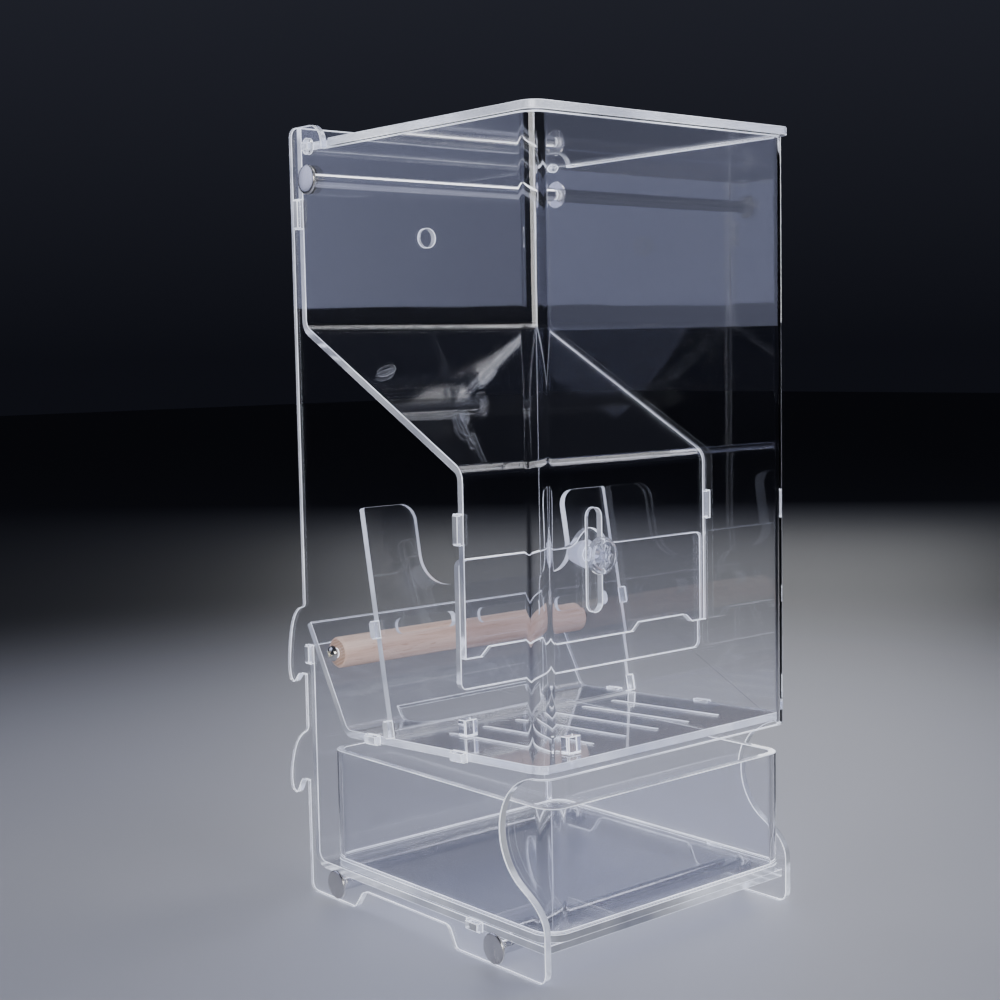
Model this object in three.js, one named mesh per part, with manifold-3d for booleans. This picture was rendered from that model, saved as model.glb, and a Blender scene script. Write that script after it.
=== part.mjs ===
// Seed feeder for a bird cage, built from clear 3 mm acrylic sheet.
// Millimetres, +Z up. The front wall faces -Y, the hooks point to +Y, and X runs across the width.
// Inside this file y = 0 is the rear edge of the side walls and z = 0 is the underside of the feet.
import * as THREE from 'three';
import { mergeVertices } from 'three/addons/utils/BufferGeometryUtils.js';
import Module from 'manifold-3d';

const wasm = await Module();
wasm.setup();

// ---------------------------------------------------------------- driving dimensions
const WIDTH = 132; // over the two side walls
const DEPTH = 146; // rear edge to the outside of the front wall
const LID_TOP = 305;
const T = 3; // acrylic sheet
const GAP = 0.3; // between pieces that touch
const SIDE_PLAY = 0.6; // between a moving piece and each side wall
const BEND = 5.5; // middle radius of a heated bend
const TAB_REACH = 1.1; // how far a tab stands out of the wall

const HALF = WIDTH / 2;
const INNER = HALF - T; // inner face of a side wall
const SHEET_HALF = INNER - GAP; // half width of a sheet held between the walls
const SLIDING_HALF = INNER - SIDE_PLAY;

// side walls
const WALL_TOP = LID_TOP - T - GAP;
const EAR = { top: 311.5, front: -22.5, radius: 8.3, backRadius: 4 };
const FRONT_WALL_BOTTOM = 72.7;
const HOOK_REACH = 13.3;

// lid and its hinge
const LID_OVERHANG = { front: 1.7, side: 0.9 };
const LID_WIDE_REAR = -27.2;
const LID_REAR = -10.3;
const HINGE_Y = -12.5;
const HINGE_Z = LID_TOP - T / 2;
const LUG_LENGTH = 4.4;
const LUG_HOLE_R = 3;

// hopper sheet: back, slope and slotted front plate
const HOPPER_BACK_Y = -4.9;
const HOPPER_SLOPE_TOP = 232.2;
const HOPPER_PLATE_Y = -102;
const HOPPER_SLOPE_BOTTOM = 178.2;
const HOPPER_BOTTOM = 110;
const BACK_HOLE_Z = 270;
const BACK_HOLE_R = 4;
const GUIDE_SLOT = { low: 120.3, high: 160.9, halfWidth: 3.5 };
const WINDOW = { inner: 20.5, outer: 54.5, slant: 4, height: 3.3 };

// gate behind the slotted plate, with its thumb screw
const GATE_Y = HOPPER_PLATE_Y + T + GAP;
const GATE_BOTTOM = 98;
const GATE_TOP = 146.3;
const SCREW_Z = 142.6;
const SCREW_R = 3;
const BUMP = { top: 153, half: 8, foot: 14 };
const KNOB_R = 7.3;

// baffle between the perch and the seed
const BAFFLE_TOP = { y: -41, z: 161.8 };
const BAFFLE_BOTTOM = { y: -57.25, z: 73.8 };
const MOUTH = { half: 38, bottom: 128.5, corner: 13, flare: 7 };
const BAFFLE_SLOT = { length: 29, height: 6, z: 115, pitch: 39.5 };

// seed tray: leaning flange and gently sloping floor
const FLANGE_TOP = { y: -1.9, z: 112 };
const TRAY_BEND = { y: -26.4, z: 70.2 };
const TRAY_FRONT = { y: -DEPTH + T + GAP, z: 76 };
const HUSK_OPENING = { half: 35, upFlange: 5.5, alongFloor: 15, corner: 9 };
const FLOOR_SLOT = { count: 6, pitch: 17, width: 2, rear: -68, front: -127.5 };
const BLOCK = { x: -42.5, width: 6, depth: 4.5, height: 6.5, ys: { rear: -79, front: -134 } };

// perch
const PERCH_R = 6.25;
const PERCH_Y = -21.5;
const PERCH_CHAMFER = 0.9;
const PERCH_Z = 102.3;
const PERCH_SCREW = { headR: 3.2, headT: 1.8, shankR: 1.5, depth: 12 };

// drawer bay and drawer
const BASE_Z = 12.1;
const BASE_FRONT = -144.5;
const BASE_BACK_Y = -3.4;
const BASE_BACK_TOP = 103;
const DRAWER = { rear: -13.5, front: -DEPTH, top: 62, corner: 8 };
const DRAWER_FLOOR_Z = BASE_Z + T / 2 + GAP;

// tie rods with flat caps: [y, z] of each axis
const ROD_R = 3;
const CAP = { r: 5.75, t: 1.2, stemR: 1.6, depth: 10 };
const RODS = { top: [-13, 290.5], rear: [-20, 7], front: [-119, 7] };

// ---------------------------------------------------------------- materials
const finish = (color, roughness, metalness, opacity = 1) =>
  new THREE.MeshStandardMaterial({ color, roughness, metalness, opacity, transparent: opacity < 1 });
const ACRYLIC = finish('#c8cce4', 0.08, 0, 0.35);
const FROSTED = finish('#e6e8f2', 0.4, 0, 0.8);
const STEEL = finish('#b9bbc0', 0.25, 1);
const BEECH = finish('#dcb9a6', 0.6, 0);

// ---------------------------------------------------------------- solids
function toSolid(geometry) {
  const bare = geometry.index ? geometry.toNonIndexed() : geometry.clone();
  bare.deleteAttribute('normal');
  bare.deleteAttribute('uv');
  const merged = mergeVertices(bare, 1e-5);
  const mesh = new wasm.Mesh({
    numProp: 3,
    vertProperties: new Float32Array(merged.attributes.position.array),
    triVerts: new Uint32Array(merged.index.array),
  });
  return new wasm.Manifold(mesh);
}

function toGeometry(solid) {
  const mesh = solid.getMesh();
  const geometry = new THREE.BufferGeometry();
  geometry.setAttribute('position', new THREE.BufferAttribute(mesh.vertProperties, 3));
  geometry.setIndex(new THREE.BufferAttribute(mesh.triVerts, 1));
  geometry.computeVertexNormals();
  return geometry;
}

const joined = (solids) => solids.reduce((sum, solid) => sum.add(solid));
const cut = (solid, tools) => tools.reduce((rest, tool) => rest.subtract(tool), solid);

// A shape drawn in (y, z) becomes a solid centred on x; one drawn in (x, z) a solid centred on y.
const ALONG_X = new THREE.Matrix4().makeBasis(
  new THREE.Vector3(0, 1, 0), new THREE.Vector3(0, 0, 1), new THREE.Vector3(1, 0, 0));
const ALONG_Y = new THREE.Matrix4().makeBasis(
  new THREE.Vector3(1, 0, 0), new THREE.Vector3(0, 0, 1), new THREE.Vector3(0, -1, 0));

function extrude(shape, length, basis) {
  const geometry = new THREE.ExtrudeGeometry(shape, { depth: length, bevelEnabled: false, curveSegments: 8 });
  geometry.translate(0, 0, -length / 2);
  return basis ? geometry.applyMatrix4(basis) : geometry;
}

const extrudeX = (shape, length, x = 0) => toSolid(extrude(shape, length, ALONG_X).translate(x, 0, 0));
const extrudeY = (shape, length, y = 0) => toSolid(extrude(shape, length, ALONG_Y).translate(0, y, 0));
const extrudeZ = (shape, z0, z1) => toSolid(extrude(shape, z1 - z0).translate(0, 0, (z0 + z1) / 2));

function box(size, centre, tiltX = 0) {
  const geometry = new THREE.BoxGeometry(...size);
  return toSolid(geometry.rotateX(tiltX).translate(...centre));
}

// A cylinder along 'x' or 'y', centred on the given point.
function rod(radius, length, axis, centre, segments = 24) {
  const geometry = new THREE.CylinderGeometry(radius, radius, length, segments);
  if (axis === 'x') geometry.rotateZ(Math.PI / 2);
  return toSolid(geometry.translate(...centre));
}

// A lathe profile of [radius, height] pairs, turned about Y and then laid along the given axis.
function turned(profile, axis, segments = 24) {
  const points = profile.map(([r, h]) => new THREE.Vector2(r, h));
  const geometry = new THREE.LatheGeometry(points, segments);
  if (axis === 'x') geometry.rotateZ(-Math.PI / 2);
  return toSolid(geometry);
}

// ---------------------------------------------------------------- outlines
// A closed polygon with its corners rounded: each point is [u, v, radius].
function rounded(corners) {
  const shape = new THREE.Shape();
  corners.forEach(([u, v, radius = 0], i) => {
    const here = new THREE.Vector2(u, v);
    const before = new THREE.Vector2(...corners.at(i - 1).slice(0, 2)).sub(here).normalize();
    const after = new THREE.Vector2(...corners[(i + 1) % corners.length].slice(0, 2)).sub(here).normalize();
    const halfAngle = Math.acos(THREE.MathUtils.clamp(before.dot(after), -1, 1)) / 2;
    const reach = radius / Math.tan(halfAngle);
    const start = here.clone().addScaledVector(before, reach);
    const end = here.clone().addScaledVector(after, reach);
    if (i === 0) shape.moveTo(start.x, start.y);
    else shape.lineTo(start.x, start.y);
    if (radius > 0) {
      const middle = before.clone().add(after).normalize();
      const centre = here.clone().addScaledVector(middle, radius / Math.sin(halfAngle));
      const from = Math.atan2(start.y - centre.y, start.x - centre.x);
      const to = Math.atan2(end.y - centre.y, end.x - centre.x);
      shape.absarc(centre.x, centre.y, radius, from, to, before.cross(after) > 0);
    }
  });
  shape.closePath();
  return shape;
}

const rectangle = (u0, v0, u1, v1, r = 0) => rounded([[u0, v0, r], [u1, v0, r], [u1, v1, r], [u0, v1, r]]);

// The section of one bent sheet: a middle line through the given points, bent with radius BEND.
function sheetSection(points) {
  const near = [];
  const far = [];
  const add = (p, normal) => {
    near.push(p.clone().addScaledVector(normal, T / 2));
    far.unshift(p.clone().addScaledVector(normal, -T / 2));
  };
  const line = points.map(([y, z]) => new THREE.Vector2(y, z));
  const direction = (a, b) => b.clone().sub(a).normalize();
  const left = (d) => new THREE.Vector2(-d.y, d.x);
  add(line[0], left(direction(line[0], line[1])));
  for (let i = 1; i < line.length - 1; i += 1) {
    const inward = direction(line[i - 1], line[i]);
    const outward = direction(line[i], line[i + 1]);
    const turn = Math.atan2(inward.cross(outward), inward.dot(outward));
    const side = Math.sign(turn);
    const start = line[i].clone().addScaledVector(inward, -BEND * Math.tan(Math.abs(turn) / 2));
    const centre = start.clone().addScaledVector(left(inward), side * BEND);
    const steps = Math.max(3, Math.ceil(Math.abs(turn) / 0.26));
    for (let k = 0; k <= steps; k += 1) {
      const normal = left(inward).rotateAround(new THREE.Vector2(), turn * k / steps);
      add(centre.clone().addScaledVector(normal, -side * BEND), normal);
    }
  }
  add(line.at(-1), left(direction(line.at(-2), line.at(-1))));
  return new THREE.Shape([...near, ...far]);
}

// ---------------------------------------------------------------- tabs and the slots they sit in
const tilt = (from, to) => Math.atan2(to.z - from.z, to.y - from.y);
const BAFFLE_TILT = tilt(BAFFLE_BOTTOM, BAFFLE_TOP);
const FLOOR_TILT = tilt(TRAY_FRONT, TRAY_BEND);

function pointOn(from, to, key, value) {
  const share = (value - from[key]) / (to[key] - from[key]);
  return [from.y + share * (to.y - from.y), from.z + share * (to.z - from.z)];
}

// Each tab: the middle of its edge as [y, z], its length along the sheet and the sheet's direction.
const UPRIGHT = Math.PI / 2;
const TABS = {
  hopper: [
    { at: [HOPPER_BACK_Y, 277.5], length: 11, angle: UPRIGHT },
    { at: [HOPPER_PLATE_Y, 157.6], length: 10.6, angle: UPRIGHT },
  ],
  baffle: [115, 76.8].map((z) => (
    { at: pointOn(BAFFLE_BOTTOM, BAFFLE_TOP, 'z', z), length: 6, angle: BAFFLE_TILT })),
  tray: [-46, -99.5].map((y) => (
    { at: pointOn(TRAY_FRONT, TRAY_BEND, 'y', y), length: 7, angle: FLOOR_TILT })),
  base: [
    { at: [BASE_BACK_Y, BASE_BACK_TOP - 3.5], length: 7, angle: UPRIGHT },
    { at: [-106.5, BASE_Z], length: 7, angle: 0 },
  ],
};

const bar = (tab, halfLength, clearance) =>
  box([2 * halfLength, tab.length + 2 * clearance, T + 2 * clearance], [0, ...tab.at], tab.angle);

// A tab runs right across its sheet as one bar, so it needs no joint line at the sheet's edge.
const tabEnds = (tabs) => tabs.flatMap((tab) => [-1, 1].map((side) => box(
  [TAB_REACH + T + 2, tab.length, T],
  [side * (HALF + TAB_REACH - (TAB_REACH + T + 2) / 2), ...tab.at], tab.angle)));
const tabSlots = (tabs) => tabs.map((tab) => bar(tab, HALF + 5, GAP));

// ---------------------------------------------------------------- outer shell
const FINGER_CUT = { y: 1.5 - DEPTH, z: 51.5, r: 22, end: -62 * Math.PI / 180 };

function sideOutline() {
  const shape = new THREE.Shape();
  const through = (points) => points.forEach(([y, z]) => shape.lineTo(y, z));
  const bend = (corner, end) => shape.quadraticCurveTo(...corner, ...end);
  // rear foot, notch and front foot
  shape.moveTo(-4, 0);
  through([[-28.6, 0]]);
  bend([-31.4, 0], [-32.6, 1.6]);
  through([[-36.6, 6.8]]);
  bend([-37.9, 8], [-40, 8]);
  through([[-88, 8]]);
  bend([-91, 8], [-91.8, 6.4]);
  through([[-94.4, 1.4]]);
  bend([-95.2, 0], [-97, 0]);
  through([[-DEPTH + 5, 0]]);
  bend([-DEPTH, 0], [-DEPTH, 5]);
  // finger cut-out beside the drawer
  through([[-DEPTH, 18]]);
  const { y, z, r, end } = FINGER_CUT;
  bend([-DEPTH, 25.8], [y + r * Math.cos(end), z + r * Math.sin(end)]);
  const bendLine = BEND + T / 2 - DEPTH;
  shape.absarc(y, z, r, end, Math.acos((bendLine - y) / r), false);
  // top edge and hinge ear
  through([[bendLine, WALL_TOP], [EAR.front, WALL_TOP]]);
  shape.absarc(EAR.front + EAR.radius, EAR.top - EAR.radius, EAR.radius, Math.PI, Math.PI / 2, true);
  through([[-EAR.backRadius, EAR.top]]);
  bend([0, EAR.top], [0, EAR.top - EAR.backRadius]);
  // upper hook
  through([[0, 120.5]]);
  bend([0, 118.8], [2.5, 118.3]);
  bend([8, 117], [10.4, 107.5]);
  bend([12.6, 98], [12.4, 91.5]);
  bend([12.2, 86.4], [9, 86.4]);
  bend([7.6, 86.4], [5.9, 88.6]);
  bend([4.3, 90.6], [3.4, 90.6]);
  through([[0, 90.6]]);
  // lower hook
  through([[0, 69.6]]);
  bend([0, 67.4], [2.5, 66.2]);
  bend([8.6, 63], [11, 56]);
  bend([HOOK_REACH, 50], [HOOK_REACH, 45]);
  bend([HOOK_REACH, 39.4], [9.4, 39.4]);
  bend([8, 39.4], [6.4, 42.4]);
  bend([4.4, 46.2], [3.4, 46.2]);
  through([[0, 46.2], [0, 4]]);
  bend([0, 0], [-4, 0]);
  return shape;
}

function outerShell() {
  const sides = [-1, 1].map((side) => extrudeX(sideOutline(), T, side * (HALF - T / 2)));
  const frontLine = T / 2 - DEPTH;
  const legEnd = frontLine + BEND + 4;
  const edge = HALF - T / 2;
  const front = extrudeZ(
    sheetSection([[-edge, legEnd], [-edge, frontLine], [edge, frontLine], [edge, legEnd]]),
    FRONT_WALL_BOTTOM, WALL_TOP);
  const across = WIDTH + 10;
  const holes = [
    rod(LUG_HOLE_R, across, 'x', [0, HINGE_Y, HINGE_Z], 32),
    rod(PERCH_SCREW.shankR + GAP, across, 'x', [0, PERCH_Y, PERCH_Z]),
    ...Object.values(RODS).map(([y, z]) => rod(CAP.stemR + GAP, across, 'x', [0, y, z])),
  ];
  return cut(joined([...sides, front]), [...holes, ...tabSlots(Object.values(TABS).flat())]);
}

// ---------------------------------------------------------------- lid
function lid() {
  const wide = HALF + LID_OVERHANG.side;
  const front = -DEPTH - LID_OVERHANG.front;
  const tongue = INNER - 0.5;
  const outline = rounded([
    [-wide, front, 6], [wide, front, 6], [wide, LID_WIDE_REAR, 2], [tongue, LID_WIDE_REAR, 0],
    [tongue, LID_REAR, 0], [-tongue, LID_REAR, 0], [-tongue, LID_WIDE_REAR, 0], [-wide, LID_WIDE_REAR, 2],
  ]);
  const lugs = box([WIDTH + 2 * TAB_REACH, LUG_LENGTH, T], [0, HINGE_Y, HINGE_Z]);
  return extrudeZ(outline, LID_TOP - T, LID_TOP).add(lugs);
}

// ---------------------------------------------------------------- hopper, gate and thumb screw
function slotOutline(u0, v0, u1, v1) {
  const r = Math.min(u1 - u0, v1 - v0) / 2 - 0.01;
  return rectangle(u0, v0, u1, v1, r);
}

function hopperSheet() {
  const section = sheetSection([
    [HOPPER_BACK_Y, EAR.top], [HOPPER_BACK_Y, HOPPER_SLOPE_TOP],
    [HOPPER_PLATE_Y, HOPPER_SLOPE_BOTTOM], [HOPPER_PLATE_Y, HOPPER_BOTTOM],
  ]);
  const sheet = joined([extrudeX(section, 2 * SHEET_HALF), ...tabEnds(TABS.hopper)]);
  const { low, high, halfWidth } = GUIDE_SLOT;
  const guide = extrudeY(slotOutline(-halfWidth, low, halfWidth, high), 3 * T, HOPPER_PLATE_Y);
  const windows = [-1, 1].map((side) => extrudeY(rounded([
    [side * (WINDOW.inner - 1), HOPPER_BOTTOM - 1], [side * (WINDOW.outer + 1), HOPPER_BOTTOM - 1],
    [side * (WINDOW.outer - WINDOW.slant), HOPPER_BOTTOM + WINDOW.height, 1],
    [side * (WINDOW.inner + WINDOW.slant), HOPPER_BOTTOM + WINDOW.height, 1],
  ]), 3 * T, HOPPER_PLATE_Y));
  const backHole = rod(BACK_HOLE_R, 3 * T, 'y', [0, HOPPER_BACK_Y, BACK_HOLE_Z]);
  return cut(sheet, [guide, ...windows, backHole]);
}

function gatePlate() {
  const plate = rectangle(-SLIDING_HALF, GATE_BOTTOM, SLIDING_HALF, GATE_TOP, 3);
  const bump = new THREE.Shape();
  const { top, half, foot } = BUMP;
  bump.moveTo(-foot, GATE_TOP);
  bump.quadraticCurveTo(-half - 1, GATE_TOP, -half + 1, GATE_TOP + 3);
  bump.quadraticCurveTo(-half / 2, top, 0, top);
  bump.quadraticCurveTo(half / 2, top, half - 1, GATE_TOP + 3);
  bump.quadraticCurveTo(half + 1, GATE_TOP, foot, GATE_TOP);
  bump.lineTo(foot, SCREW_Z);
  bump.lineTo(-foot, SCREW_Z);
  bump.closePath();
  const sheet = joined([extrudeY(plate, T, GATE_Y), extrudeY(bump, T, GATE_Y)]);
  return cut(sheet, [rod(SCREW_R + GAP, 3 * T, 'y', [0, GATE_Y, SCREW_Z])]);
}

// Distances along the screw, towards the rear, from the front of its head.
function gateKnob() {
  const face = HOPPER_PLATE_Y - T / 2 - GAP;
  const tip = GATE_Y + T / 2 + 7.5;
  const profile = [
    [0, face - 5], [KNOB_R - 1, face - 4.6], [KNOB_R, face - 4], [KNOB_R, face - 2.2],
    [KNOB_R - 0.6, face - 1.8], [5.2, face - 1.6], [5, face], [SCREW_R, face], [SCREW_R, tip], [0, tip],
  ];
  return turned(profile, 'y', 32).translate([0, 0, SCREW_Z]);
}

function gateNut() {
  const face = GATE_Y + T / 2 + GAP;
  const bore = SCREW_R + GAP;
  const profile = [
    [bore, face], [5.6, face], [5.6, face + 3.2], [4.6, face + 5.6], [4, face + 8], [bore, face + 8],
    [bore, face],
  ];
  return turned(profile, 'y', 32).translate([0, 0, SCREW_Z]);
}

// ---------------------------------------------------------------- baffle
// Drawn upright in (x, z), with heights along the leaning sheet, then tilted about its lower edge.
function baffle() {
  const height = Math.hypot(BAFFLE_TOP.y - BAFFLE_BOTTOM.y, BAFFLE_TOP.z - BAFFLE_BOTTOM.z);
  const stretch = height / (BAFFLE_TOP.z - BAFFLE_BOTTOM.z);
  const along = (z) => (z - BAFFLE_BOTTOM.z) * stretch;
  const { half, corner, flare } = MOUTH;
  const sill = along(MOUTH.bottom);
  const outline = rounded([
    [-SHEET_HALF, 0], [SHEET_HALF, 0], [SHEET_HALF, height, 1], [half, height, flare],
    [half, sill, corner], [-half, sill, corner], [-half, height, flare], [-SHEET_HALF, height, 1],
  ]);
  const slots = [-1, 0, 1].map((i) => {
    const x = i * BAFFLE_SLOT.pitch;
    const z = along(BAFFLE_SLOT.z);
    const [halfLength, halfHeight] = [BAFFLE_SLOT.length / 2, BAFFLE_SLOT.height / 2];
    return extrudeY(rectangle(x - halfLength, z - halfHeight, x + halfLength, z + halfHeight, 2.4), 3 * T);
  });
  const lean = THREE.MathUtils.radToDeg(BAFFLE_TILT) - 90;
  const sheet = cut(extrudeY(outline, T), slots).rotate([lean, 0, 0]);
  return joined([sheet.translate([0, BAFFLE_BOTTOM.y, BAFFLE_BOTTOM.z]), ...tabEnds(TABS.baffle)]);
}

// ---------------------------------------------------------------- seed tray
// A vertical cutter, seen from above, and one seen from behind, open up the bend.
function seedTray() {
  const section = sheetSection([
    [FLANGE_TOP.y, FLANGE_TOP.z], [TRAY_BEND.y, TRAY_BEND.z], [TRAY_FRONT.y, TRAY_FRONT.z],
  ]);
  const { half, upFlange, alongFloor, corner } = HUSK_OPENING;
  const low = TRAY_BEND.z - 8;
  const front = TRAY_FRONT.y - 1;
  const plan = extrudeZ(rounded([[-SHEET_HALF, front, BEND], [SHEET_HALF, front, BEND],
    [SHEET_HALF, 5], [-SHEET_HALF, 5]]), low, FLANGE_TOP.z + T);
  const sheet = joined([extrudeX(section, 2 * SHEET_HALF).intersect(plan), ...tabEnds(TABS.tray)]);
  const floorHole = extrudeZ(
    rounded([[-half, TRAY_BEND.y - alongFloor, corner], [half, TRAY_BEND.y - alongFloor, corner],
      [half, TRAY_BEND.y + 8], [-half, TRAY_BEND.y + 8]]),
    low, TRAY_BEND.z + upFlange);
  const flangeHole = extrudeY(
    rounded([[-half, low], [half, low], [half, TRAY_BEND.z + upFlange, corner],
      [-half, TRAY_BEND.z + upFlange, corner]]),
    16, TRAY_BEND.y);
  const slotMiddle = (FLOOR_SLOT.count - 1) / 2;
  const slots = Array.from({ length: FLOOR_SLOT.count }, (_, i) => {
    const x = (i - slotMiddle) * FLOOR_SLOT.pitch;
    const half = FLOOR_SLOT.width / 2;
    return extrudeZ(slotOutline(x - half, FLOOR_SLOT.front, x + half, FLOOR_SLOT.rear), low, low + 20);
  });
  return cut(sheet, [floorHole, flangeHole, ...slots]);
}

function trayBlock(y) {
  const [, z] = pointOn(TRAY_FRONT, TRAY_BEND, 'y', y);
  const lift = T / 2 + GAP + BLOCK.height / 2;
  return box([BLOCK.width, BLOCK.depth, BLOCK.height], [BLOCK.x, y, z + lift], FLOOR_TILT);
}

// ---------------------------------------------------------------- perch
function perch() {
  const end = SHEET_HALF;
  const boreR = PERCH_SCREW.shankR + GAP;
  const boreEnd = end - PERCH_SCREW.depth;
  const rim = PERCH_R - PERCH_CHAMFER;
  const chamferStart = end - PERCH_CHAMFER;
  const profile = [
    [0, -boreEnd], [boreR, -boreEnd], [boreR, -end], [rim, -end], [PERCH_R, -chamferStart],
    [PERCH_R, chamferStart], [rim, end], [boreR, end], [boreR, boreEnd], [0, boreEnd],
  ];
  return turned(profile, 'x', 32).translate([0, PERCH_Y, PERCH_Z]);
}

// A headed pin that passes through a side wall; side is -1 for the left wall and 1 for the right.
function wallPin(headR, headT, dome, shankR, shankEnd, side, y, z) {
  const face = HALF + GAP;
  const profile = [
    [0, shankEnd], [shankR, shankEnd], [shankR, face], [headR, face], [headR, face + headT - dome],
    [headR - dome, face + headT], [0, face + headT],
  ];
  const pin = turned(profile, 'x', 24);
  return (side > 0 ? pin : pin.rotate([0, 180, 0])).translate([0, y, z]);
}

const perchScrew = (side) => wallPin(PERCH_SCREW.headR, PERCH_SCREW.headT, 1, PERCH_SCREW.shankR,
  SHEET_HALF - PERCH_SCREW.depth + 1, side, PERCH_Y, PERCH_Z);

// ---------------------------------------------------------------- tie rods
function tieRod([y, z]) {
  const end = SHEET_HALF;
  const boreR = CAP.stemR + GAP;
  const boreEnd = end - CAP.depth;
  const profile = [
    [0, -boreEnd], [boreR, -boreEnd], [boreR, -end], [ROD_R, -end],
    [ROD_R, end], [boreR, end], [boreR, boreEnd], [0, boreEnd],
  ];
  return turned(profile, 'x').translate([0, y, z]);
}

const rodCap = ([y, z], side) =>
  wallPin(CAP.r, CAP.t, 0.4, CAP.stemR, SHEET_HALF - CAP.depth + 1, side, y, z);

// ---------------------------------------------------------------- drawer bay and drawer
function baseSheet() {
  const section = sheetSection([
    [BASE_BACK_Y, BASE_BACK_TOP], [BASE_BACK_Y, BASE_Z], [BASE_FRONT, BASE_Z],
  ]);
  return joined([extrudeX(section, 2 * SHEET_HALF), ...tabEnds(TABS.base)]);
}

const drawerOutline = (inset) => rectangle(
  -SLIDING_HALF + inset, DRAWER.front + inset, SLIDING_HALF - inset, DRAWER.rear - inset, DRAWER.corner - inset);

function drawerWalls() {
  const low = DRAWER_FLOOR_Z + T + GAP;
  return extrudeZ(drawerOutline(0), low, DRAWER.top).subtract(extrudeZ(drawerOutline(T), low - 5, DRAWER.top + 5));
}

const drawerFloor = () => extrudeZ(drawerOutline(0), DRAWER_FLOOR_Z, DRAWER_FLOOR_Z + T);

// ---------------------------------------------------------------- assembly
const feeder = new THREE.Group();
feeder.position.y = (DEPTH + LID_OVERHANG.front - HOOK_REACH) / 2;

function addPart(name, solid, material) {
  const mesh = new THREE.Mesh(toGeometry(solid), material);
  mesh.name = name;
  feeder.add(mesh);
}

addPart('outer_shell', outerShell(), ACRYLIC);
addPart('lid', lid(), ACRYLIC);
addPart('hopper_sheet', hopperSheet(), ACRYLIC);
addPart('gate_plate', gatePlate(), ACRYLIC);
addPart('gate_knob', gateKnob(), FROSTED);
addPart('gate_nut', gateNut(), FROSTED);
addPart('baffle', baffle(), ACRYLIC);
addPart('seed_tray', seedTray(), ACRYLIC);
for (const [place, y] of Object.entries(BLOCK.ys)) addPart(`tray_block_${place}`, trayBlock(y), ACRYLIC);
addPart('perch', perch(), BEECH);
addPart('perch_screw_left', perchScrew(-1), STEEL);
addPart('perch_screw_right', perchScrew(1), STEEL);
addPart('base_sheet', baseSheet(), ACRYLIC);
addPart('drawer_walls', drawerWalls(), ACRYLIC);
addPart('drawer_floor', drawerFloor(), ACRYLIC);
for (const [place, axis] of Object.entries(RODS)) {
  addPart(`tie_rod_${place}`, tieRod(axis), STEEL);
  addPart(`rod_cap_${place}_left`, rodCap(axis, -1), STEEL);
  addPart(`rod_cap_${place}_right`, rodCap(axis, 1), STEEL);
}

export default feeder;
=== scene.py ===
import math

import bmesh
import bpy
from mathutils import Matrix, Vector
from mathutils.bvhtree import BVHTree

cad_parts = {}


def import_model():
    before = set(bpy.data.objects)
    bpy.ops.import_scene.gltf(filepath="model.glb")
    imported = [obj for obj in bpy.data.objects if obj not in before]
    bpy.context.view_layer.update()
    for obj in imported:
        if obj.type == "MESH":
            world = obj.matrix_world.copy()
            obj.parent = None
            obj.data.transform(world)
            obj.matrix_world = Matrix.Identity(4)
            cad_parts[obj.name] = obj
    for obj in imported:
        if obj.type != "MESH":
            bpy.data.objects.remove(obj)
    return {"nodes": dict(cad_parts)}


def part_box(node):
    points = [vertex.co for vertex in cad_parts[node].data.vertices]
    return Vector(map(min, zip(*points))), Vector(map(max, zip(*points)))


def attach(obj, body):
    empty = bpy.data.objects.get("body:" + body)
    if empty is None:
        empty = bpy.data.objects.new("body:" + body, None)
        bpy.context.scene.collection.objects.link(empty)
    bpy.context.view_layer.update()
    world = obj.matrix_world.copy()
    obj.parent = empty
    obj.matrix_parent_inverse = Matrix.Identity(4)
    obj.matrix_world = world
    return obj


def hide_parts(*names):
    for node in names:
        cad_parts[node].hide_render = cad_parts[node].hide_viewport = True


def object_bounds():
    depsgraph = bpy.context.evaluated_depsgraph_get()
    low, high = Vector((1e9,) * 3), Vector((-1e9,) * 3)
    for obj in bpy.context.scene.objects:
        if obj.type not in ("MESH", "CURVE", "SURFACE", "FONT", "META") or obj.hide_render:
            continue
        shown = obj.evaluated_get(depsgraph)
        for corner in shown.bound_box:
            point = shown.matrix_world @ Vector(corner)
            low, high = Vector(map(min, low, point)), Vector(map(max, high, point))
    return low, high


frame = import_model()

CAD_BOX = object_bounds()
MM = 0.001
SAME_POINT = 1e-7

# Clear sheets
SHEET_THICKNESS = 3.0 * MM
DEPTH_TOLERANCE = 0.35 * MM
RAY_START = 1e-5
RAY_REACH = 30 * MM
WELD_DISTANCE = 2e-6
SAME_PLANE = math.radians(0.6)
CORNER_ANGLE = math.radians(35)
SHEET_EASE = 0.24 * MM
TRAY_EASE = 0.14 * MM
BLOCK_EASE = 0.3 * MM
NO_EASE = 0

# Above these angles, in degrees, an edge is shaded as sharp
SHEET_SMOOTH = 28
MOULDING_SMOOTH = 35
WOOD_SMOOTH = 40
PIN_SMOOTH = 40
ROD_SMOOTH = 50

ACRYLIC_IOR = 1.49
FROSTED_IOR = 1.46


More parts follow.
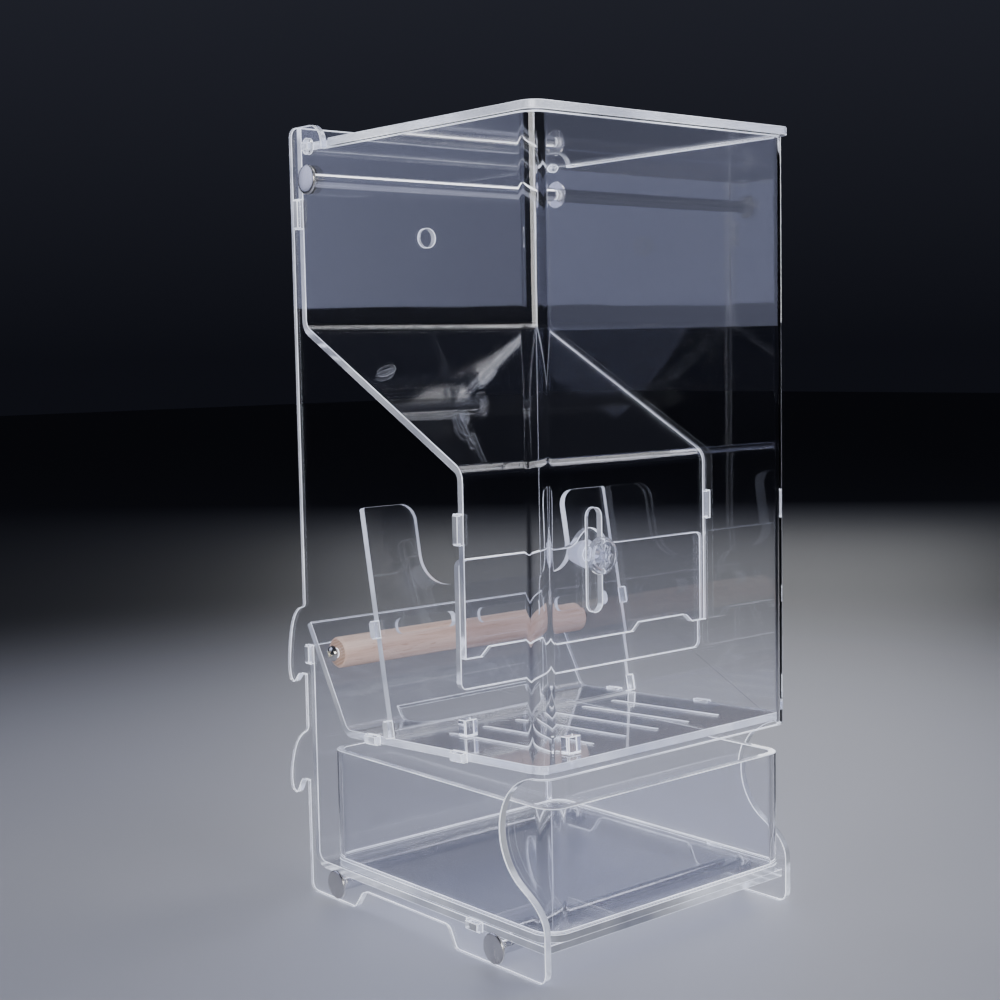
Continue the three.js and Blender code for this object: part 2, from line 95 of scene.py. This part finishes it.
# ---------------------------------------------------------------- material helpers
class Nodes:
    """A material's node tree, with a short call for each kind of node used here."""

    def __init__(self, name):
        self.material = bpy.data.materials.new(name)
        self.material.use_nodes = True
        self.tree = self.material.node_tree
        self.tree.nodes.clear()
        self.output = self.tree.nodes.new("ShaderNodeOutputMaterial")

    def add(self, kind, **settings):
        node = self.tree.nodes.new(kind)
        for key, value in settings.items():
            setattr(node, key, value)
        return node

    def link(self, source, target):
        self.tree.links.new(source, target)

    def position(self, scale=(1, 1, 1)):
        """Position on the piece at rest, in metres, stretched by scale."""
        coords = self.add("ShaderNodeTexCoord")
        mapping = self.add("ShaderNodeMapping")
        mapping.inputs["Scale"].default_value = scale
        self.link(coords.outputs["Object"], mapping.inputs["Vector"])
        return mapping.outputs["Vector"]

    def noise(self, vector, scale, detail=3.0, roughness=0.5):
        node = self.add("ShaderNodeTexNoise")
        node.inputs["Scale"].default_value = scale
        node.inputs["Detail"].default_value = detail
        node.inputs["Roughness"].default_value = roughness
        self.link(vector, node.inputs["Vector"])
        return node.outputs["Fac"]

    def ramp(self, value, stops):
        """value picks a colour between the stops, each (place, color)."""
        node = self.add("ShaderNodeValToRGB")
        for element, (place, color) in zip(self.elements(node, len(stops)), stops):
            element.position = place
            element.color = (*color, 1)
        self.link(value, node.inputs["Fac"])
        return node.outputs["Color"]

    @staticmethod
    def elements(node, count):
        found = node.color_ramp.elements
        while len(found) < count:
            found.new(0.5)
        return found

    def span(self, value, low, high, start=0.0, end=1.0):
        """value from start to end becomes low to high."""
        node = self.add("ShaderNodeMapRange")
        node.inputs["From Min"].default_value = start
        node.inputs["From Max"].default_value = end
        node.inputs["To Min"].default_value = low
        node.inputs["To Max"].default_value = high
        self.link(value, node.inputs["Value"])
        return node.outputs["Result"]

    def mix(self, factor, a, b, blend="MIX"):
        node = self.add("ShaderNodeMix", data_type="RGBA", blend_type=blend)
        for socket, value in (("Factor", factor), ("A", a), ("B", b)):
            self.fill(next(s for s in node.inputs if s.name == socket and s.enabled), value)
        return next(s for s in node.outputs if s.enabled)

    def fill(self, socket, value):
        """Sets a number or colour on the socket itself, or links another node's output to it."""
        if isinstance(value, (int, float)):
            socket.default_value = value
        elif isinstance(value, tuple):
            socket.default_value = (*value, 1)
        else:
            self.link(value, socket)

    def bump(self, height, strength, distance):
        node = self.add("ShaderNodeBump")
        node.inputs["Strength"].default_value = strength
        node.inputs["Distance"].default_value = distance
        self.link(height, node.inputs["Height"])
        return node.outputs["Normal"]

    def principled(self, **values):
        node = self.add("ShaderNodeBsdfPrincipled")
        for name, value in values.items():
            self.fill(node.inputs[name.replace("_", " ")], value)
        return node.outputs["BSDF"]

    def finish(self, shader):
        self.link(shader, self.output.inputs["Surface"])
        return self.material

    def finish_clear(self, shader, shadow_tint):
        """A clear shader that lets lamp light through, tinted."""
        path = self.add("ShaderNodeLightPath")
        clear = self.add("ShaderNodeBsdfTransparent")
        clear.inputs["Color"].default_value = (*shadow_tint, 1)
        mixer = self.add("ShaderNodeMixShader")
        self.link(path.outputs["Is Shadow Ray"], mixer.inputs[0])
        self.link(shader, mixer.inputs[1])
        self.link(clear.outputs[0], mixer.inputs[2])
        return self.finish(mixer.outputs[0])


# ---------------------------------------------------------------- materials
def clear_acrylic():
    """Clear sheet with faint smears and very shallow waves."""
    n = Nodes("clear_acrylic")
    position = n.position()
    smears = n.noise(position, scale=26.0, detail=5.0, roughness=0.6)
    waves = n.noise(position, scale=9.0, detail=1.0)
    shader = n.principled(
        Base_Color=(0.962, 0.966, 0.99),
        Roughness=n.span(smears, 0.0, 0.025),
        IOR=ACRYLIC_IOR,
        Transmission_Weight=1.0,
        Normal=n.bump(waves, strength=0.25, distance=0.6 * MM),
    )
    return n.finish_clear(shader, shadow_tint=(0.94, 0.945, 0.965))


def cut_edge(name, through, glow_low, glow_high):
    """Cut and polished edge of clear sheet.

    The edge is given painted light, a glow of its own though it is no lamp:
    glow_low to glow_high, varied along it. The share 'through' of other light passes in."""
    n = Nodes(name)
    streaks = n.noise(n.position(), scale=350.0, detail=2.0)
    clouds = n.noise(n.position(), scale=32.0)
    color = n.ramp(clouds, [(0.3, (0.74, 0.78, 0.93)), (0.7, (0.95, 0.97, 1.0))])
    shader = n.principled(
        Base_Color=color,
        Roughness=n.span(streaks, 0.12, 0.24),
        IOR=ACRYLIC_IOR,
        Transmission_Weight=through,
        # Painted glow: the edge gives off light of its own so that it reads bright.
        Emission_Color=(0.84, 0.88, 1.0),
        Emission_Strength=n.span(clouds, glow_low, glow_high, start=0.32, end=0.68),
        Normal=n.bump(streaks, strength=0.08, distance=0.04 * MM),
    )
    return n.finish_clear(shader, shadow_tint=(0.8, 0.82, 0.9))


def frosted():
    """Milky moulded plastic of the gate's cone."""
    n = Nodes("frosted_plastic")
    grain = n.noise(n.position(), scale=900.0)
    clouds = n.noise(n.position(), scale=140.0)
    shader = n.principled(
        Base_Color=n.ramp(clouds, [(0.3, (0.84, 0.86, 0.93)), (0.7, (0.94, 0.95, 1.0))]),
        Roughness=n.span(grain, 0.28, 0.45),
        IOR=FROSTED_IOR,
        Transmission_Weight=0.42,
        Normal=n.bump(grain, strength=0.15, distance=0.1 * MM),
    )
    return n.finish_clear(shader, shadow_tint=(0.8, 0.82, 0.88))


def clear_plastic():
    """Clear moulded plastic of the thumb screw."""
    n = Nodes("clear_plastic")
    grain = n.noise(n.position(), scale=200.0)
    shader = n.principled(
        Base_Color=(0.95, 0.96, 0.99),
        Roughness=n.span(grain, 0.03, 0.12),
        IOR=ACRYLIC_IOR,
        Transmission_Weight=0.95,
    )
    return n.finish_clear(shader, shadow_tint=(0.9, 0.91, 0.95))


def steel(name, base, low, high, stretch=(1, 1, 1)):
    """Steel of roughness low to high, with fine marks drawn out along the axes of small stretch."""
    n = Nodes(name)
    marks = n.noise(n.position(stretch), scale=300.0, detail=4.0, roughness=0.6)
    worn = tuple(0.86 * c for c in base)
    shader = n.principled(
        Base_Color=n.ramp(marks, [(0.3, worn), (0.7, base)]),
        Metallic=1.0,
        Roughness=n.span(marks, low, high),
        Normal=n.bump(marks, strength=0.08, distance=0.05 * MM),
    )
    return n.finish(shader)


def beech():
    """Pale pinkish beech: growth bands and fibres along X, short darker flecks."""
    n = Nodes("beech")
    bands = n.noise(n.position((9, 150, 150)), scale=1.6, roughness=0.55)
    fibres = n.noise(n.position((60, 2600, 2600)), scale=1.0, roughness=0.6)
    flecks = n.noise(n.position((190, 1500, 1500)), scale=1.0, detail=1.0)
    base = n.ramp(bands, [
        (0.28, (0.64, 0.42, 0.32)), (0.5, (0.78, 0.56, 0.45)), (0.72, (0.86, 0.68, 0.57))])
    fine = n.ramp(fibres, [(0.3, (0.80, 0.76, 0.73)), (0.65, (1, 1, 1))])
    grained = n.mix(0.7, base, fine, "MULTIPLY")
    dashes = n.ramp(flecks, [(0.66, (0, 0, 0)), (0.72, (1, 1, 1))])
    shader = n.principled(
        Base_Color=n.mix(n.span(dashes, 0.0, 0.55), grained, (0.40, 0.22, 0.15)),
        Roughness=n.span(fibres, 0.45, 0.68),
        Specular_IOR_Level=0.4,
        Normal=n.bump(fibres, strength=0.35, distance=0.12 * MM),
    )
    return n.finish(shader)


def end_grain():
    """The dowel's sawn ends: growth rings and pores."""
    n = Nodes("beech_end_grain")
    coords = n.add("ShaderNodeTexCoord")
    wave = n.add("ShaderNodeTexWave", wave_type="RINGS", rings_direction="X")
    wave.inputs["Scale"].default_value = 260.0
    wave.inputs["Distortion"].default_value = 2.5
    wave.inputs["Detail"].default_value = 3.0
    n.link(coords.outputs["Object"], wave.inputs["Vector"])
    pores = n.noise(n.position(), scale=2500.0, detail=2.0)
    rings = n.ramp(wave.outputs["Fac"], [(0.2, (0.50, 0.31, 0.22)), (0.8, (0.66, 0.46, 0.35))])
    pitted = n.ramp(pores, [(0.35, (0.6, 0.6, 0.6)), (0.6, (1, 1, 1))])
    shader = n.principled(
        Base_Color=n.mix(0.5, rings, pitted, "MULTIPLY"),
        Roughness=0.7,
        Normal=n.bump(pores, strength=0.3, distance=0.1 * MM),
    )
    return n.finish(shader)


def floor_paper_painted_shade(pale, dark, near, far):
    """Pale paper with painted shade: its colour darkens smoothly from near to far, in metres from
    the object's middle, where the light would fall off.
    """
    n = Nodes("floor_paper_painted_shade")
    length = n.add("ShaderNodeVectorMath", operation="LENGTH")
    n.link(n.position(), length.inputs[0])
    painted_falloff = n.add("ShaderNodeMapRange", interpolation_type="SMOOTHERSTEP")
    painted_falloff.inputs["From Min"].default_value = near
    painted_falloff.inputs["From Max"].default_value = far
    n.link(length.outputs["Value"], painted_falloff.inputs["Value"])
    tone = n.mix(painted_falloff.outputs["Result"], pale, dark)
    return n.finish(n.principled(Base_Color=tone, Roughness=0.6, Specular_IOR_Level=0.2))


ACRYLIC = clear_acrylic()
# Cut edges with a painted glow: they give off light though they are no lamp.
EDGE = cut_edge("acrylic_cut_edge_painted_glow", through=0.70, glow_low=0.02, glow_high=0.24)
BRIGHT_EDGE_PAINTED_GLOW = cut_edge("acrylic_bright_edge_painted_glow", through=0.4, glow_low=0.12, glow_high=0.6)
# Eased corners glow strongly: painted highlight lines along each sheet's rims.
RIM_PAINTED_HIGHLIGHT = cut_edge("acrylic_edge_rim_painted_highlight", through=0.15, glow_low=0.55, glow_high=1.5)
FROSTED = frosted()
CLEAR = clear_plastic()
POLISHED = steel("polished_steel", (0.80, 0.81, 0.84), low=0.06, high=0.16, stretch=(0.15, 1, 1))
SATIN = steel("satin_steel", (0.84, 0.82, 0.79), low=0.2, high=0.32, stretch=(1, 1, 0.2))
SCREW_STEEL = steel("screw_steel", (0.84, 0.82, 0.77), low=0.14, high=0.26)
BEECH = beech()
END_GRAIN = end_grain()


# ---------------------------------------------------------------- mesh helpers
def linked(name, data):
    """A new object in the scene."""
    made = bpy.data.objects.new(name, data)
    bpy.context.scene.collection.objects.link(made)
    return made


def applied(piece):
    """The piece's modifiers become part of its mesh."""
    bpy.context.view_layer.update()
    depsgraph = bpy.context.evaluated_depsgraph_get()
    result = bpy.data.meshes.new_from_object(piece.evaluated_get(depsgraph))
    piece.modifiers.clear()
    piece.data = result


def finished(name, bm, body, node, materials, smooth):
    """The bmesh becomes a piece that stands for a CAD node.

    The weighted normals keep flat faces flat beside eased corners. Without them, a clear sheet
    would bend what is seen through it, like a lens."""
    mesh = bpy.data.meshes.new(name)
    bmesh.ops.recalc_face_normals(bm, faces=bm.faces)
    bm.to_mesh(mesh)
    bm.free()
    for material in materials:
        mesh.materials.append(material)
    for polygon in mesh.polygons:
        polygon.use_smooth = True
    mesh.set_sharp_from_angle(angle=math.radians(smooth))
    piece = linked(name, mesh)
    flat = piece.modifiers.new("flat_faces_stay_flat", "WEIGHTED_NORMAL")
    flat.keep_sharp = True
    flat.weight = 100
    applied(piece)
    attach(piece, body)
    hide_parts(node)
    return piece


def middle(node):
    low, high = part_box(node)
    return (Vector(low) + Vector(high)) / 2


def span(node, axis):
    low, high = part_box(node)
    return high[axis] - low[axis]


def placed(axis, centre, along, u, v):
    """The point at distance along the axis 'x' or 'y' from centre, and u and v across it."""
    if axis == "x":
        return (centre[0] + along, centre[1] + u, centre[2] + v)
    return (centre[0] + u, centre[1] + along, centre[2] + v)


def lathe(bm, profile, axis, centre, segments, material=0):
    """Turns (distance along axis, radius) pairs about the axis 'x' or 'y' through centre.

    A radius of 0 closes the end."""
    rings = []
    for along, radius in profile:
        if radius < SAME_POINT:
            rings.append([bm.verts.new(placed(axis, centre, along, 0, 0))])
            continue
        turns = [2 * math.pi * i / segments for i in range(segments)]
        rings.append([
            bm.verts.new(placed(axis, centre, along, radius * math.cos(t), radius * math.sin(t)))
            for t in turns])
    for a, b in zip(rings, rings[1:]):
        count = max(len(a), len(b))
        for i in range(count):
            j = (i + 1) % count
            corners = [a[i % len(a)], a[j % len(a)], b[j % len(b)], b[i % len(b)]]
            unique = list(dict.fromkeys(corners))
            if len(unique) > 2:
                bm.faces.new(unique).material_index = material


def prism(bm, front, back):
    """A closed six-sided solid between two rings of four corners."""
    bm.faces.new(front)
    bm.faces.new(back)
    for i in range(4):
        j = (i + 1) % 4
        bm.faces.new((front[i], front[j], back[j], back[i]))


# ---------------------------------------------------------------- acrylic sheets
def is_cut_edge(tree, face):
    """True where the material behind the face isn't about one sheet's thickness deep."""
    inward = -face.normal
    start = face.calc_center_median() + inward * RAY_START
    _, _, _, depth = tree.ray_cast(start, inward, RAY_REACH)
    return depth is None or abs(depth - SHEET_THICKNESS) > DEPTH_TOLERANCE


def sheet(node, body, ease=SHEET_EASE, cut_edges=True, edge=EDGE):
    """A CAD sheet with its corners eased and given a painted highlight, and its cut edges milky
    with a painted glow.
    """
    bm = bmesh.new()
    bm.from_mesh(frame["nodes"][node].data)
    bmesh.ops.remove_doubles(bm, verts=bm.verts, dist=WELD_DISTANCE)
    bmesh.ops.triangulate(bm, faces=bm.faces)
    bm.normal_update()
    tree = BVHTree.FromBMesh(bm)
    for face in bm.faces:
        face.material_index = int(cut_edges and is_cut_edge(tree, face))
    bmesh.ops.dissolve_limit(
        bm, angle_limit=SAME_PLANE, verts=bm.verts, edges=bm.edges, delimit={"MATERIAL"})
    bm.normal_update()
    if ease:
        corners = [
            e for e in bm.edges if len(e.link_faces) == 2 and e.calc_face_angle(0) > CORNER_ANGLE]
        bmesh.ops.bevel(
            bm, geom=corners, offset=ease, offset_type="OFFSET", segments=1, profile=0.5,
            affect="EDGES", clamp_overlap=False, material=2)
    # The eased corners' faces take the third material, a glowing painted highlight.
    finished(
        f"{node}_sheet", bm, body, node, [ACRYLIC, edge, RIM_PAINTED_HIGHLIGHT], SHEET_SMOOTH)


for sheet_node, sheet_body in (
        ("outer_shell", "shell"), ("lid", "lid"), ("hopper_sheet", "shell"),
        ("gate_plate", "gate"), ("base_sheet", "shell"), ("drawer_walls", "drawer"),
        ("drawer_floor", "drawer")):
    sheet(sheet_node, sheet_body)
sheet("seed_tray", "shell", ease=TRAY_EASE)
# Eased corners would fold over in the curves of the baffle's mouth.
# The baffle's cut edges get a stronger painted glow.
sheet("baffle", "shell", ease=NO_EASE, edge=BRIGHT_EDGE_PAINTED_GLOW)
for block_node in ("tray_block_rear", "tray_block_front"):
    sheet(block_node, "shell", ease=BLOCK_EASE, cut_edges=False)


# ---------------------------------------------------------------- perch
def perch():
    """Round dowel with softened ends of end grain."""
    half = span("perch", 0) / 2
    radius = span("perch", 2) / 2
    centre = middle("perch")
    ease = 0.9 * MM
    end_depth = 0.12 * MM
    end_step = 0.15 * MM
    lengths = 12
    segments = 72
    start = -half + ease
    long_side = 2 * half - 2 * ease
    left = [(-half + end_depth, radius - ease), (-half + ease * 0.4, radius - ease * 0.35)]
    side = [(start + long_side * k / lengths, radius) for k in range(lengths)]
    side.append((half - ease, radius))
    right = [(-along, r) for along, r in reversed(left)]
    bm = bmesh.new()
    lathe(bm, left + side + right, "x", centre, segments)
    for sign in (-1, 1):
        end = [(sign * (half - end_depth), radius - ease),
               (sign * half, radius - ease - end_step), (sign * half, 0)]
        lathe(bm, end, "x", centre, segments, material=1)
    bmesh.ops.remove_doubles(bm, verts=bm.verts, dist=SAME_POINT)
    finished("perch_dowel", bm, "shell", "perch", [BEECH, END_GRAIN], WOOD_SMOOTH)


perch()


# ---------------------------------------------------------------- steel: rods, caps and screws
CAP_RADIUS = span("rod_cap_top_left", 2) / 2
SCREW_RADIUS = span("perch_screw_left", 2) / 2


def tie_rod(place):
    """Polished rod across the width, with eased ends."""
    node = f"tie_rod_{place}"
    half = span(node, 0) / 2
    radius = span(node, 2) / 2
    ease = 0.35 * MM
    profile = [(-half, 0), (-half, radius - ease), (-half + ease, radius), (half - ease, radius),
               (half, radius - ease), (half, 0)]
    bm = bmesh.new()
    lathe(bm, profile, "x", middle(node), segments=64)
    finished(f"{node}_bar", bm, "shell", node, [POLISHED], ROD_SMOOTH)


def pin(node, head, edge, seat, shank, tip, material):
    """A headed pin through a side wall, with distances from its head's top towards the middle.

    head is the profile of the head's face, edge the head's radius and seat where the head ends;
    shank is the shank's radius and tip where its taper begins. Gives the piece, the head's top
    and the side it is on."""
    low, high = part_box(node)
    side = -1 if low[0] + high[0] < 0 else 1
    top = middle(node)
    top.x = low[0] if side < 0 else high[0]
    taper = 0.6 * MM
    profile = [(0, 0), *head, (seat, edge), (seat, shank), (tip, shank),
               (tip + taper, shank * 0.6), (tip + taper, 0)]
    bm = bmesh.new()
    lathe(bm, [(-side * along, r) for along, r in profile], "x", top, segments=48)
    piece = finished(
        f"{node}_metal", bm, "shell", node, [material], PIN_SMOOTH)
    return piece, top, side


def rod_cap(node):
    """Flat cap with a barely domed face and an eased rim, on a stem."""
    edge = CAP_RADIUS
    face = [(0.02 * MM, 0.3 * edge), (0.08 * MM, 0.55 * edge), (0.18 * MM, 0.78 * edge),
            (0.27 * MM, edge - 0.5 * MM), (0.42 * MM, edge - 0.15 * MM), (0.65 * MM, edge)]
    pin(node, face, edge, seat=1.2 * MM, shank=1.6 * MM, tip=12 * MM, material=SATIN)


def perch_screw(node):
    """Round-headed screw with a cross recess."""
    height = 1.8 * MM
    steps = 8
    dome = [(height * (1 - math.cos(math.asin(k / steps))), SCREW_RADIUS * k / steps)
            for k in range(2, steps + 1)]
    cross_recess(*pin(
        node, dome, SCREW_RADIUS, seat=height, shank=1.5 * MM, tip=14 * MM,
        material=SCREW_STEEL))


def cross_recess(piece, top, side):
    """Cuts a tapered cross into the head, turned a little as screws are."""
    # (distance below the head's top, length and width of each arm)
    mouth = (-0.3 * MM, 4.1 * MM, 0.85 * MM)
    bottom = (1.15 * MM, 2.2 * MM, 0.55 * MM)
    turned_by = 0.5
    bm = bmesh.new()
    for turn in (0, math.pi / 2):
        turned = Matrix.Rotation(turn + turned_by, 3, "X")
        corners = []
        for along, length, width in (mouth, bottom):
            for u, v in ((-1, -1), (1, -1), (1, 1), (-1, 1)):
                point = Vector((-side * along, u * length / 2, v * width / 2))
                corners.append(bm.verts.new(top + turned @ point))
        prism(bm, corners[:4], corners[4:])
        bmesh.ops.recalc_face_normals(bm, faces=bm.faces)
    cut_mesh = bpy.data.meshes.new("cross_cutter")
    bm.to_mesh(cut_mesh)
    bm.free()
    cutter = linked("cross_cutter", cut_mesh)
    modifier = piece.modifiers.new("cross", "BOOLEAN")
    modifier.operation = "DIFFERENCE"
    modifier.solver = "EXACT"
    modifier.use_self = True
    modifier.object = cutter
    applied(piece)
    bpy.data.objects.remove(cutter)


for rod_place in ("top", "rear", "front"):
    tie_rod(rod_place)
    for hand in ("left", "right"):
        rod_cap(f"rod_cap_{rod_place}_{hand}")
for hand in ("left", "right"):
    perch_screw(f"perch_screw_{hand}")


# ---------------------------------------------------------------- thumb screw
def gate_knob():
    """Clear moulded disc with a boss, radial ribs and a rim on its face, on a round screw.

    Depths are from the disc's front, towards the gate."""
    low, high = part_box("gate_knob")
    front = middle("gate_knob")
    front.y = low[1]
    radius = (high[2] - low[2]) / 2
    length = high[1] - low[1]
    shaft = 3.0 * MM
    profile = [
        (1.1 * MM, 0), (1.1 * MM, 4.6 * MM),                                   # sunken face
        (0.35 * MM, 5.2 * MM), (0.05 * MM, 5.9 * MM), (0, radius - 1.0 * MM),  # rim's inside
        (0.25 * MM, radius - 0.35 * MM), (0.8 * MM, radius),                   # rim
        (2.4 * MM, radius), (3.0 * MM, radius - 0.5 * MM),                     # disc's edge
        (3.4 * MM, 5.2 * MM), (5.0 * MM, 5.0 * MM), (5.0 * MM, shaft),         # collar
        (length - 0.5 * MM, shaft), (length, shaft - 0.5 * MM), (length, 0),   # shaft
    ]
    boss = [(0.2 * MM, 0), (0.2 * MM, 1.5 * MM), (0.5 * MM, 1.9 * MM), (1.25 * MM, 2.0 * MM),
            (1.25 * MM, 0)]
    bm = bmesh.new()
    lathe(bm, profile, "y", front, segments=72)
    ribs = 9
    rib_start, rib_end = 1.5 * MM, 4.75 * MM
    rib_top = (0.25 * MM, 0.28 * MM)  # depth, half the width there
    rib_foot = (1.25 * MM, 0.5 * MM)
    for i in range(ribs):
        turn = 2 * math.pi * i / ribs
        corners = []
        for depth, half in (rib_top, rib_foot):
            for reach, side in ((rib_start, -1), (rib_end, -1), (rib_end, 1), (rib_start, 1)):
                u = reach * math.cos(turn) - side * half * math.sin(turn)
                v = reach * math.sin(turn) + side * half * math.cos(turn)
                corners.append(bm.verts.new(placed("y", front, depth, u, v)))
        prism(bm, corners[:4], corners[4:])
    lathe(bm, boss, "y", front, segments=36)
    finished(
        "gate_knob_moulding", bm, "knob", "gate_knob", [CLEAR],
        MOULDING_SMOOTH)


def gate_nut():
    """Frosted cone that the screw runs into."""
    low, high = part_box("gate_nut")
    front = middle("gate_nut")
    front.y = low[1]
    radius = (high[2] - low[2]) / 2
    length = high[1] - low[1]
    bore = 3.2 * MM
    ease = 0.3 * MM
    cone_start = 1.0 * MM
    cone_length = length - 1.4 * MM
    cone_end_radius = 3.9 * MM
    steps = 5
    profile = [(0, bore), (0, radius - ease), (ease, radius)]
    profile += [
        (cone_start + cone_length * k / steps, radius - (radius - cone_end_radius) * k / steps)
        for k in range(steps + 1)]
    profile += [(length, cone_end_radius - ease), (length, bore), (0, bore)]
    bm = bmesh.new()
    lathe(bm, profile, "y", front, segments=64)
    bmesh.ops.remove_doubles(bm, verts=bm.verts, dist=SAME_POINT)
    finished(
        "gate_nut_cone", bm, "gate", "gate_nut", [FROSTED], MOULDING_SMOOTH)


gate_knob()
gate_nut()


# ---------------------------------------------------------------- floor, light and camera
# The floor's colour fades from pale to a painted shade away from the object.
FLOOR_PALE = (0.52, 0.53, 0.58)
FLOOR_PAINTED_SHADE = (0.012, 0.013, 0.018)
SKY_LOW = (0.006, 0.0065, 0.010)
SKY_HIGH = (0.026, 0.028, 0.040)
BLUISH = (0.62, 0.67, 1.0)
COOL = (0.96, 0.97, 1.0)
WARM = (1.0, 0.99, 0.98)


def stage_floor():
    bm = bmesh.new()
    bmesh.ops.create_grid(bm, x_segments=4, y_segments=4, size=6.0)
    mesh = bpy.data.meshes.new("floor")
    bm.to_mesh(mesh)
    bm.free()
    mesh.materials.append(floor_paper_painted_shade(FLOOR_PALE, FLOOR_PAINTED_SHADE, near=0.12, far=0.95))
    floor = linked("floor", mesh)
    floor.location = (0, 0, CAD_BOX[0][2] - 0.2 * MM)


def softbox(name, place, aim, size, watts, color, seen_through=True):
    """A rectangular lamp. seen_through says whether it shows to rays that have passed a clear
    sheet; where it doesn't, the sheets still mirror it and it still lights everything."""
    data = bpy.data.lights.new(name, "AREA")
    data.shape = "RECTANGLE"
    data.size, data.size_y = size
    data.energy = watts
    data.color = color
    lamp = linked(name, data)
    lamp.location = place
    lamp.visible_transmission = seen_through
    lamp.rotation_euler = (Vector(aim) - Vector(place)).to_track_quat("-Z", "Y").to_euler()


def world():
    """A dark room, a little lighter above the horizon."""
    scene = bpy.context.scene
    scene.world = bpy.data.worlds.new("studio")
    scene.world.use_nodes = True
    tree = scene.world.node_tree
    coords = tree.nodes.new("ShaderNodeTexCoord")
    split = tree.nodes.new("ShaderNodeSeparateXYZ")
    fade = tree.nodes.new("ShaderNodeValToRGB")
    for element, (place, color) in zip(
            fade.color_ramp.elements, ((0.0, SKY_LOW), (0.35, SKY_HIGH))):
        element.position = place
        element.color = (*color, 1)
    tree.links.new(coords.outputs["Generated"], split.inputs[0])
    tree.links.new(split.outputs["Z"], fade.inputs["Fac"])
    tree.links.new(fade.outputs["Color"], tree.nodes["Background"].inputs["Color"])


def camera():
    """Placed and turned as the photograph was taken: low, from the front left."""
    place = Vector((-0.43503, -0.49443, 0.22109))
    forward = Vector((0.64412, 0.75968, -0.08941)).normalized()
    up = Vector((0.07244, 0.05578, 0.99581))
    up = (up - forward * up.dot(forward)).normalized()
    right = forward.cross(up)
    data = bpy.data.cameras.new("camera")
    data.sensor_width = 36.0
    data.lens = 59.14
    data.clip_start = 0.01
    eye = linked("camera", data)
    turned = Matrix((right, up, -forward)).transposed().to_4x4()
    eye.matrix_world = Matrix.Translation(place) @ turned
    bpy.context.scene.camera = eye


def light_paths():
    """Enough bounces to see through all the sheets of the box."""
    cycles = bpy.context.scene.cycles
    cycles.max_bounces = 28
    cycles.transmission_bounces = 28
    cycles.transparent_max_bounces = 40
    cycles.glossy_bounces = 8


stage_floor()
softbox("softbox_front_right", (0.95, -1.15, 0.76), aim=(0, 0, 0.16), size=(0.9, 1.1),
        watts=5.4, color=BLUISH, seen_through=False)
softbox("softbox_back_left", (-0.95, 1.05, 0.79), aim=(0, 0, 0.18), size=(0.9, 1.1),
        watts=4.2, color=BLUISH)
softbox("softbox_top", (0.8, -0.16, 1.2), aim=(0, 0, 0.1), size=(0.55, 0.55),
        watts=4.8, color=WARM)
softbox("softbox_camera_side", (-1.2, -1.1, 0.5), aim=(0, 0, 0.15), size=(0.9, 0.5),
        watts=16.0, color=WARM, seen_through=False)
softbox("softbox_back_right", (1.2, 1.1, 0.5), aim=(0, 0, 0.15), size=(0.9, 0.5),
        watts=8.0, color=COOL, seen_through=False)
world()
camera()
light_paths()
